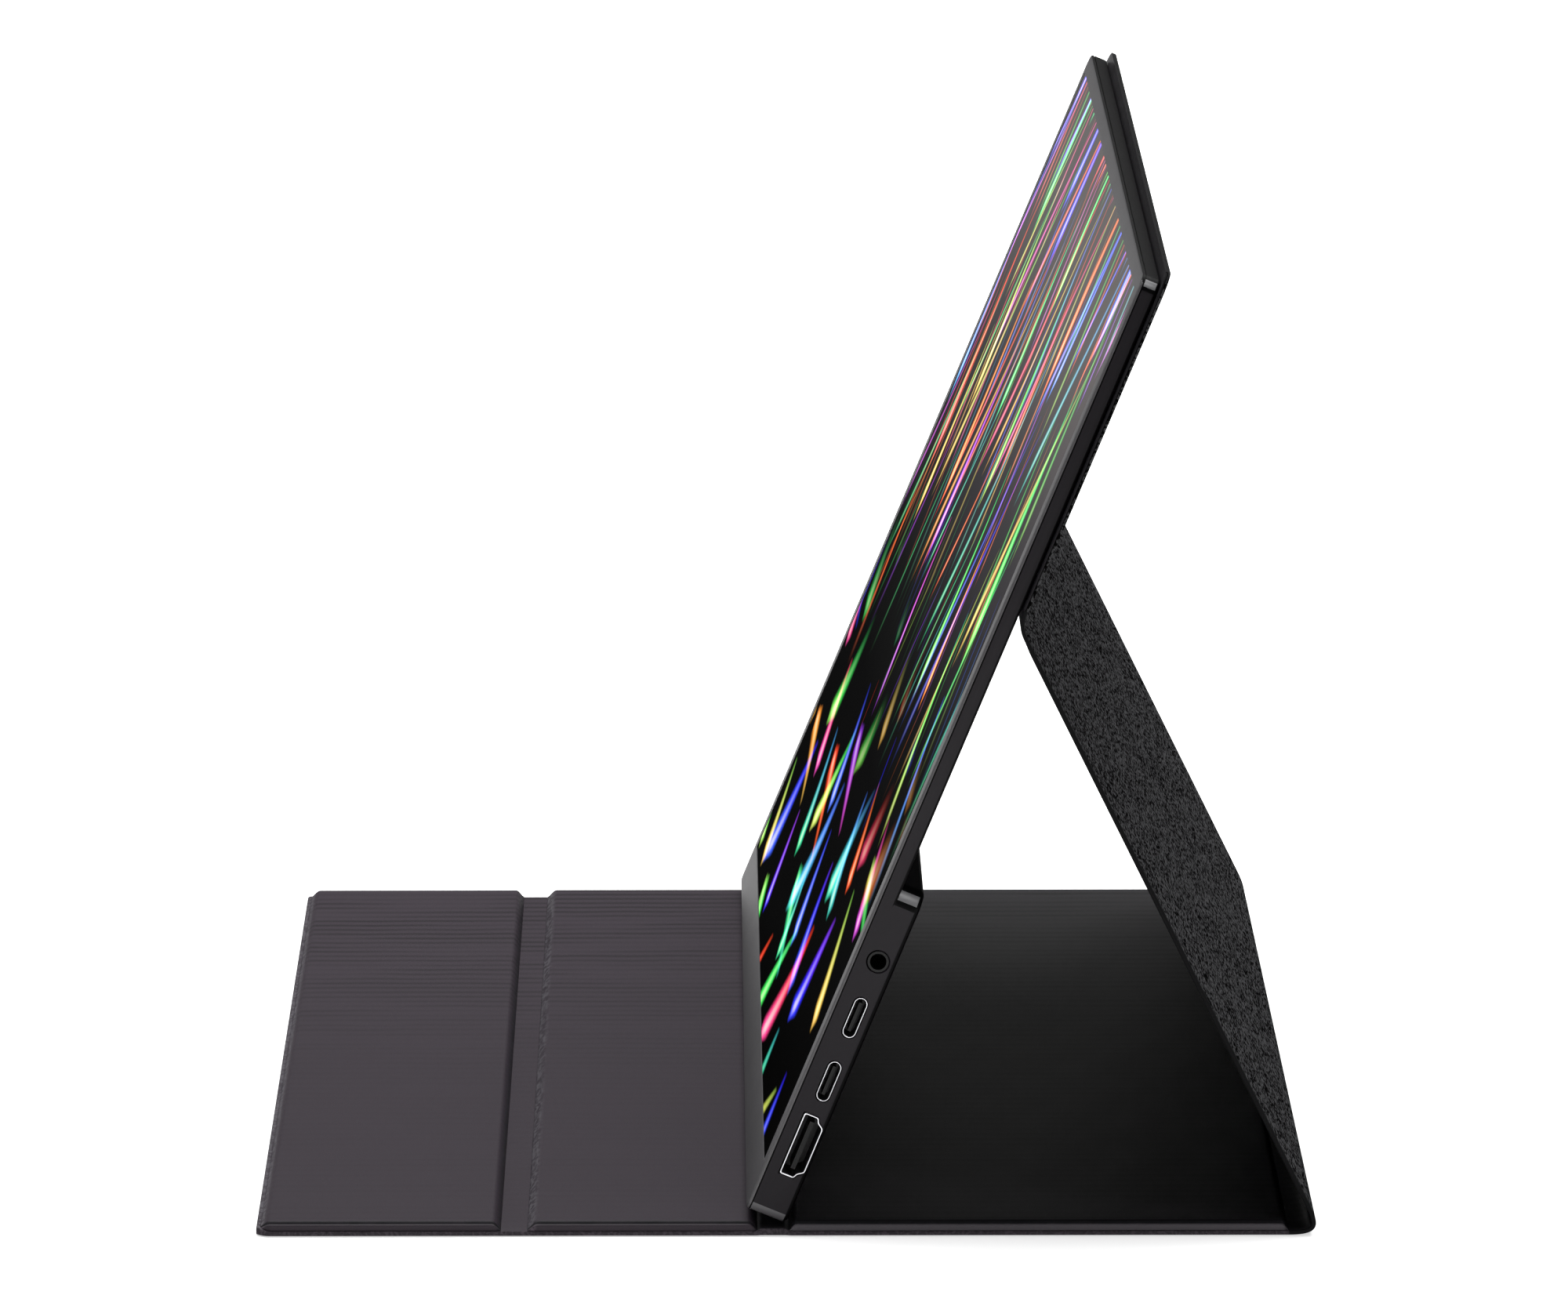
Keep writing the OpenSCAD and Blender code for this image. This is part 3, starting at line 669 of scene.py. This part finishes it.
def lining_panel(name, y0, y1, mats, bevel0=1.5, bevel1=1.4, round0=0.0, base=RIM, top=PANEL_T, hx0=HX):
    ys = stations(y0, y1, 4.2, 40)
    verts, faces, edge, crease = [], [], [], []
    m = None
    for i, y in enumerate(ys):
        d0, d1 = y - y0, y1 - y
        e = float(min(smooth(-0.15, bevel0, d0), smooth(-0.15, bevel1, d1)))
        e = 0.02 + 0.98 * e ** 0.75
        hx = hx0 - corner(d0, round0) if round0 else hx0
        ring = lining_ring(hx, e, base, top)
        m = len(ring)
        for x, z, _ in ring:
            # the padding is never quite flat
            wob = 0.0
            if abs(x) < hx - 3 and z > base + 0.5:
                wob = 0.06 * math.sin(x * 0.045 + y * 0.11) * math.sin(y * 0.16 + 1.3) + 0.035 * math.sin(x * 0.17 + 2.0) * math.sin(y * 0.31)
            verts.append((x, y, z + wob * e))
            # edge mask: lighter specked border at the y0 end, partly painted light
            near = hx - abs(x)
            if round0:
                v = min(max(1.5 - abs(d0 - 0.95) / 0.45, 0), 1)
            else:
                v = min(max((2.1 - d0) / 0.8, 0), 1)
            edge.append(v)
            # crease mask: painted shade in the groove inside the side roll, and a painted shadow line near the y1 end
            # (foot)
            c = float(np.interp(near, (0.7, 0.85, 1.08, 1.5, 1.95, 2.2), (0, 0.25, 1, 1, 0.15, 0)))
            cz = 1 if (z - base) > 0.6 * (top - base) * e - 0.02 else 0
            foot = 1 - abs(d1 - 0.30) / 0.75
            crease.append(max(max(0, min(1, c)) * cz * 0.85, max(0, min(1, foot)) * 0.8))
    fm = []
    right = {j for j in range(7)}
    left_side = {m0 + 6 - j for m0 in (12 + 59 + 5,) for j in range(7)}
    for i in range(len(ys) - 1):
        for j in range(m):
            k = (j + 1) % m
            faces.append((i * m + j, i * m + k, (i + 1) * m + k, (i + 1) * m + j))
            fm.append(1 if len(mats) > 1 and (j in right or j in left_side) else 0)
    # the ends are pressed flat, so outer and inner points close on each other there
    half = m // 2
    for b in (0, (len(ys) - 1) * m):
        faces.append(tuple(b + j for j in range(m)))
        fm.append(0)
    return make(name, verts, faces, mats, fm, 60, {"edge": edge, "crease": crease})


def board(name, y0, y1):
    r = inset_rect(-HX + 2.1, HX - 2.1, y0, y1, 1.0, 0, 5)
    rings = [[(x + (-d if x > 0 else d), y + (-d if y > (y0 + y1) / 2 else d), z) for x, y in r]
             for z, d in ((1.03, 0.12), (1.15, 0.0), (1.9, 0.0), (2.55, 1.0))]
    return loft(name, rings, [M["stiffener"]], 30)


def band_piece(name, path, mats, t=RIM, hx=HX, top=1, nx=36, shrink=None, normals=None):
    def ring(i, s, total):
        h = hx - (shrink(s, total) if shrink else 0)
        return flat_ring(h, t(s, total) if callable(t) else t, nx, 7, top, 0, len(mats) - 1 if len(mats) > 2 else 0)
    return sweep(name, path, ring, mats, normals=normals, attr=lambda s, total, x, off: 0.0)


# outer flap: fabric and lining are pressed together along the free edge
of_y = list(FREE_Y + np.array([0.0, 0.35, 0.8, 1.4, 2.2, 3.2])) + list(np.linspace(FREE_Y + 6, FLAP_B, 24))


def free_ring(i, s, total):
    hx = HX - corner(s + 0.15, 3.0)
    return flat_ring(hx, RIM + 0.55 * float(smooth(3.0, 0.4, s)) * (0.72 + 0.28 * float(smooth(0, 0.35, s))), 36, 7, 1, 0, 2)


flap_fabric = sweep("outer_flap_cloth", [(y, 0) for y in of_y], free_ring, [M["fabric"], M["lining"], M["hem"]],
                    attr=lambda s, total, x, off: float(smooth(2.4, 1.2, s)) if off > 0.6 else 0.0)
place(flap_fabric, "outer_flap", "outer_fabric", "outer_flap_fabric")
place(lining_panel("outer_flap_padding", FREE_Y + 0.35, FLAP_B + 0.2, [M["lining"], M["lining_side"]], 2.7, 1.9, 3.2, RIM, PANEL_T - 0.02, HX - 0.2),
      "outer_flap", "lining", "outer_flap_lining")
place(board("outer_flap_stiffener", FLAP_A + 2.6, FLAP_B - 1.0), "outer_flap", "stiffener", "outer_flap_board")
place(board("inner_flap_stiffener", FLAP_C + 1.0, FLAP_D - 1.3), "inner_flap", "stiffener", "inner_flap_board")
place(board("base_stiffener", BASE_A + 1.3, BASE_B - 1.8), "base", "stiffener", "base_board")

# crease between the flaps
crease = band_piece("crease_cloth", [(y, 0) for y in np.linspace(FLAP_B, FLAP_C, 13)], [M["fabric"], M["lining"], M["hem"]])
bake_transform(crease)
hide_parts("crease_strip")

# inner flap
place(band_piece("inner_flap_cloth", [(y, 0) for y in np.linspace(FLAP_C, FLAP_D, 24)], [M["fabric"], M["lining"], M["hem"]]),
      "inner_flap", "outer_fabric", "inner_flap_fabric")
place(lining_panel("inner_flap_padding", FLAP_C - 0.6, FLAP_D + 0.3, [M["lining"], M["lining_side"]], 2.2, 1.9), "inner_flap", "lining", "inner_flap_lining")

# groove that the monitor stands in
groove = band_piece("groove_cloth", [(y, 0) for y in np.linspace(FLAP_D, BASE_A, 15)], [M["fabric"], M["lining_base"], M["hem"]],
                    t=lambda s, total: RIM + 0.55 * float(smooth(0, 1.2, s) * smooth(0, 1.2, total - s)))
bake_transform(groove)
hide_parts("groove_strip")

# base
place(band_piece("base_cloth", [(y, 0) for y in np.linspace(BASE_A, BASE_B, 40)], [M["fabric"], M["lining_base"], M["hem"]]),
      "base", "outer_fabric", "base_fabric")
place(lining_panel("base_padding", BASE_A - 0.4, BASE_B - 0.2, [M["lining_base"], M["base_side"]]), "base", "lining", "base_lining")

# spine, leg, fold and back panel
spine = bez([(BASE_B, 0), (117.1, 0), LEG_O - 6.5 * LEG_D, LEG_O], 25)
sp = band_piece("spine_cloth", spine, [M["fabric"], M["lining_base"], M["rim"]])
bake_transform(sp)
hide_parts("spine_strip")

leg_path = [LEG_O + LEG_D * t for t in np.linspace(0, LEG_LEN, 60)]
leg = band_piece("leg_cloth", leg_path, [M["fabric"], M["lining_base"], M["rim"]], t=lambda s, total: LEG_T - 0.1 * float(smooth(3, 0, s)) - 0.2 * float(smooth(total - 3, total, s)))
place(leg, "leg", "outer_fabric", "leg_fabric", "leg_lining")

leg_top = LEG_O + LEG_LEN * LEG_D
foot = pt(BACK_W, BACK_U)
fold_path = bez([leg_top, leg_top + 3 * LEG_D, foot - 2.8 * UP, foot], 17)
fold = band_piece("fold_cloth", fold_path, [M["fabric"], M["lining_base"], M["rim"]], t=0.9)
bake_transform(fold)
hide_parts("fold_strip")

bp_u = list(np.linspace(BACK_U, BACK_TOP - 5, 30)) + [BACK_TOP - 5 + 5 * math.sin(a) for a in np.linspace(0.1, math.pi / 2, 9)]
bp_path = [pt(BACK_W, u) for u in bp_u]


def bp_ring(i, s, total):
    return flat_ring(HX - corner(BACK_TOP - bp_u[i], 5.0), 0.55, 36, 7, 0)


bp = sweep("back_panel_cloth", bp_path, bp_ring, [M["fabric"]], attr=lambda s, t, x, o: 0.0)
bp.data.materials.append(M["rim"])
place(bp, "back_panel", "outer_fabric", "back_panel_fabric")
bl_path = [pt(BACK_W - 0.62, u) for u in bp_u]


def bl_ring(i, s, total):
    return flat_ring(HX - 0.25 - corner(max(BACK_TOP - bp_u[i] - 0.25, 0.02), 4.8), 0.56, 36, 7, 0)


bl = sweep("back_panel_inner_cloth", bl_path, bl_ring, [M["lining_base"]], attr=lambda s, t, x, o: 0.0)
bl.data.materials.append(M["rim"])
# painted shade: faces along the back panel's top and bottom edges take the near-black edge colour
for ob in (bp, bl):
    for p in ob.data.polygons:
        if abs(p.normal.dot(Vector((0, UP[0], UP[1])))) > 0.5:
            p.material_index = 1
place(bl, "back_panel", "lining", "back_panel_lining", "back_panel_plate", "back_panel_magnets")

# ------------------------------------------------------------------ monitor housing
thin_prof = [(0.62, 0.25), (0.84, 0.25), (0.90, 0.0), (THIN - 0.55, 0.0), (THIN - 0.25, 0.08), (THIN - 0.06, 0.28), (THIN, 0.6)]
hump_prof = [(2.0, 0.0), (THICK - 1.25, 0.0), (THICK - 0.95, 0.06), (THICK - 0.6, 0.24), (THICK - 0.3, 0.52), (THICK - 0.08, 0.95), (THICK, 1.5)]
shell = loft("housing", plate_rings(-MX, MX, 0, MON_H, (2.4, 3.5), thin_prof, 12))
hump = loft("tool", plate_rings(-MX, MX, 0, HUMP, (2.4, 5.0), hump_prof, 12))
boolean(shell, hump, "UNION")
W = 1.6
boolean(shell, loft("tool", plate_rings(-MX + W, MX - W, W, MON_H - W, 2.0, [(0.0, 0), (3.1, 0)], 4)), "DIFFERENCE")
boolean(shell, loft("tool", plate_rings(-MX + W, MX - W, W, HUMP - W, 2.0, [(3.0, 0), (THICK - 0.7, 0)], 4)), "DIFFERENCE")
flare = lambda x0, d: ((x0, 0.0), (MX - d, 0.0), (MX + 0.5, d + 0.5))
for f, w, u, d in ((slot_outline(9.54, 3.16), 5.6, 48.3, 0.22), (slot_outline(9.54, 3.16), 5.8, 33.1, 0.22)):
    boolean(shell, prism_x(f, w, u, 0, 0, flare(MX - W - 1, d)), "DIFFERENCE")
boolean(shell, prism_x(lambda g: d_outline(0.35 + g), 6.2, 17.5, 0, 0, flare(MX - W - 1, 0.25)), "DIFFERENCE")
boolean(shell, prism_x(lambda g: [((2.35 + g) * math.cos(a), (2.35 + g) * math.sin(a)) for a in np.linspace(0, 2 * math.pi, 40, endpoint=False)],
                       5.45, 61.7, 0, 0, flare(MX - W - 1, 0.3)), "DIFFERENCE")
for f, u in ((slot_outline(8.6, 3.2), 62.0), (slot_outline(16.8, 3.2), 43.0)):
    boolean(shell, prism_x(f, 5.8, u, 0, 0, ((-MX - 0.5, 0.7), (-MX + 0.2, 0.0), (-MX + W + 1, 0.0))), "DIFFERENCE")
tool = None
verts, faces = [], []
for s in (-1, 1):
    for i in range(10):
        cx = s * 40.5 - 13.5 + i * 3
        ring = rounded_rect(cx - 0.5, cx + 0.5, 10, 17, 0.45, 4)
        b = len(verts)
        n = len(ring)
        for w, g in ((THICK - 2, 0), (THICK - 0.12, 0), (THICK + 0.5, 0.35)):
            for x, u in ring:
                verts.append(mon(cx + (x - cx) * (1 + 2 * g), w, u + (g if u > 13.5 else -g)))
        for k in range(2):
            for j in range(n):
                faces.append((b + k * n + j, b + k * n + (j + 1) % n, b + (k + 1) * n + (j + 1) % n, b + (k + 1) * n + j))
        faces.append(tuple(b + j for j in range(n)))
        faces.append(tuple(b + 2 * n + j for j in range(n)))
boolean(shell, make("tool", verts, faces), "DIFFERENCE")
shell.data.materials.clear()
for k in ("housing", "housing_edge_highlight", "housing_shade", "housing_top_shaded", "housing_glint", "housing_foot_highlight"):
    shell.data.materials.append(M[k])
NU, NW = Vector((0, UP[0], UP[1])), Vector((0, BACK[0], BACK[1]))
# painted highlight and shade: upper corner roundings get a light band at mid-tilt between near-black bands; lower
# corners get lighter bands as painted reflection; top faces and back-facing roundings get painted shade
for p in shell.data.polygons:
    nx, nu, nw = abs(p.normal.x), abs(p.normal.dot(NU)), p.normal.dot(NW)
    c = Vector(p.center) - Vector((0, FB[0], FB[1])) * 0.001
    cu, cx = c.dot(NU) * 1000, abs(c.x) * 1000
    outside = cx > MX - 5.2 or cu < 4.2 or cu > MON_H - 4.2 or abs(cu - HUMP) < 5.2
    cw, tilt = c.dot(NW) * 1000, math.degrees(math.atan2(nu, nx))
    p.material_index = 0
    if outside and nx > 0.12 and nu > 0.12 and abs(nw) < 0.2 and cx > MX - 5.2 and (cu < 3 or cu > MON_H - 4 or abs(cu - HUMP + 2.5) < 2.6):
        p.material_index = (5 if 8 < tilt < 78 else 1) if cu < 4.2 else (4 if 24 < tilt < 51 else 2)
    elif p.normal.dot(NU) > 0.8 and (cu > MON_H - 1 or abs(cu - HUMP) < 1):
        p.material_index = 3
    elif outside and nw > 0.25 and (nx > 0.2 or nu > 0.2):
        p.material_index = 2
    # painted shade in the narrow groove behind the front frame
    if cw < 0.88 and (cx > MX - 3 or cu < 3 or cu > MON_H - 3):
        p.material_index = 2
shade(shell, 32)
place(shell, "monitor", "housing", "rear_shell")

# front frame: a thin rim round the picture; its side edges are painted lighter as painted highlight and its top edge
# near-black as painted shade
SB, TB, CH = 6.0, 4.5, 10.3
rim = [[mon(x, w, u) for x, u in inset_rect(-MX, MX, 0, MON_H, (2.4, 3.5), d, 10)] for w, d in
       ((0.60, 0.9), (0.60, 0.0), (0.50, -0.0), (0.28, 0.06), (0.10, 0.22), (0.02, 0.45), (0.0, 0.75))]
bez_solid = loft("front_frame", rim + [])
boolean(bez_solid, loft("tool", [[mon(x, w, u) for x, u in rounded_rect(-MX + SB + g, MX - SB - g, CH + g, MON_H - TB - g, 0.3, 3)]
                                 for w, g in ((-0.4, -0.40), (0.0, -0.12), (0.12, 0.0), (2.0, 0.0))]), "DIFFERENCE")
bez_solid.data.materials.clear()
for k in ("bezel", "bezel_edge_highlight", "housing_top_shaded"):
    bez_solid.data.materials.append(M[k])
for p in bez_solid.data.polygons:
    c = Vector(p.center) - Vector((0, FB[0], FB[1])) * 0.001
    cu, cx = c.dot(NU) * 1000, abs(c.x) * 1000
    if p.normal.dot(NU) > 0.55 and cu > MON_H - 1.5:
        p.material_index = 2
    elif abs(p.normal.x) > 0.3 and cx > MX - 1.5:
        p.material_index = 1
shade(bez_solid, 30)
place(bez_solid, "monitor", "bezel", "front_bezel")


# socket shells: a thin bright lip round a darker throat, with the contact tongue inside
def socket(name, outline, w, u, wall, depth, node):
    x1 = MX + 0.02
    prof = [(x1 - depth, wall), (x1 - 0.25, wall), (x1 - 0.08, wall - 0.03), (x1, wall - 0.09), (x1, 0.07),
            (x1 - 0.07, 0.0), (x1 - 0.5, -0.02), (x1 - depth + 0.4, -0.02), (x1 - depth + 0.4, -0.3)]
    rings = [[mon(x, w + dw, u + du) for du, dw in outline(g)] for x, g in prof]
    fm = [0, 0, 0, 0, 0, 0, 1, 1]
    ob = loft(name, rings, [M["socket_metal"], M["throat"]], 35, True, fm)
    for p in ob.data.polygons:
        if len(p.vertices) > 4:
            p.material_index = 1
    return place(ob, "monitor", "socket_metal", node)


socket("oval_upper_ring", slot_outline(8.94, 2.56, 14), 5.6, 48.3, 0.24, 6.5, "oval_upper_shell")
socket("oval_lower_ring", slot_outline(8.94, 2.56, 14), 5.8, 33.1, 0.24, 6.5, "oval_lower_shell")
socket("video_ring", d_outline, 6.2, 17.5, 0.30, 10.5, "video_socket_shell")


# keys on the far side
def key(name, length, depth, u, out, node, body):
    f = slot_outline(length, depth, 12)
    prof = ((-MX + 3.0, 0.0), (-MX - out + 0.35, 0.0), (-MX - out + 0.12, -0.08), (-MX - out, -0.34), (-MX - out - 0.03, -0.7))
    ob = loft(name, [[mon(x, 5.8 + dw, u + du) for du, dw in f(g)] for x, g in prof], [M["key"]])
    return place(ob, body, "key_plastic", node)


key("power_key_cap", 8.0, 2.6, 62.0, 0.37, "power_button", "power_key")
rk = key("rocker_key_cap", 16.0, 2.6, 43.0, 0.45, "menu_rocker", "rocker_key")

# ------------------------------------------------------------------ stage, light, camera
bm = bmesh.new()
bmesh.ops.create_grid(bm, x_segments=2, y_segments=2, size=6.0)
me = bpy.data.meshes.new("floor")
bm.to_mesh(me); bm.free()
floor = bpy.data.objects.new("floor", me)
floor.location = (-1.0, 0, -0.0002)
bpy.context.scene.collection.objects.link(floor)
paper = plastic_material("floor_paper", (0.60, 0.60, 0.60), 0.9, 0.0, 0.1, 800, 0.0, 0.004)
p = [n for n in paper.node_tree.nodes if n.type == "BSDF_PRINCIPLED"][0]
p.inputs["Emission Color"].default_value = (1, 1, 1, 1)
p.inputs["Emission Strength"].default_value = 0.60
me.materials.append(paper)


def area(name, loc, target, size, power, colour=(1, 1, 1)):
    l = bpy.data.lights.new(name, "AREA")
    l.shape, l.size, l.size_y, l.energy, l.color = "RECTANGLE", size[0], size[1], power, colour
    o = bpy.data.objects.new(name, l)
    o.location = loc
    o.rotation_euler = (Vector(target) - Vector(loc)).to_track_quat("-Z", "Y").to_euler()
    bpy.context.scene.collection.objects.link(o)
    return o


area("top", (-1.3, 0.0, 2.3), (-1.3, 0.0, 0), (3.1, 3.4), 205)
area("left", (-0.9, -2.6, 1.5), (-0.1, 0, 0.05), (1.8, 1.2), 20)
area("back", (-3.4, 0.1, 0.75), (0, 0, 0.05), (3.0, 0.9), 1.9)
fill = area("front", (0.43, -0.05, 0.036), (0.18, -0.05, -0.02), (1.1, 0.06), 0.72)
fill.visible_camera = False
area("corner", (0.82, 0.70, 1.34), (0.17, 0.03, 0.08), (0.25, 0.25), 5.0)

world = bpy.data.worlds.new("studio")
world.use_nodes = True
world.node_tree.nodes["Background"].inputs[0].default_value = (1, 1, 1, 1)
world.node_tree.nodes["Background"].inputs[1].default_value = 0.04
bpy.context.scene.world = world

cam = bpy.data.cameras.new("camera")
co = bpy.data.objects.new("camera", cam)
bpy.context.scene.collection.objects.link(co)
cam.sensor_width, cam.sensor_fit = 36.0, "HORIZONTAL"
cam.lens = 279.135
cam.clip_start, cam.clip_end = 0.05, 50
yaw, pitch = math.radians(0.38204), math.radians(10.5306)
F = Vector((-math.cos(pitch) * math.cos(yaw), math.cos(pitch) * math.sin(yaw), -math.sin(pitch)))
R = Vector((math.sin(yaw), math.cos(yaw), 0))
U = R.cross(F)
co.matrix_world = Matrix(((R.x, U.x, -F.x, 2.75572), (R.y, U.y, -F.y, -0.017357), (R.z, U.z, -F.z, 0.607765), (0, 0, 0, 1)))
bpy.context.scene.camera = co

bpy.context.scene.view_settings.view_transform = "Standard"
bpy.context.scene.view_settings.look = "None"
bpy.context.scene.view_settings.exposure = 0.0
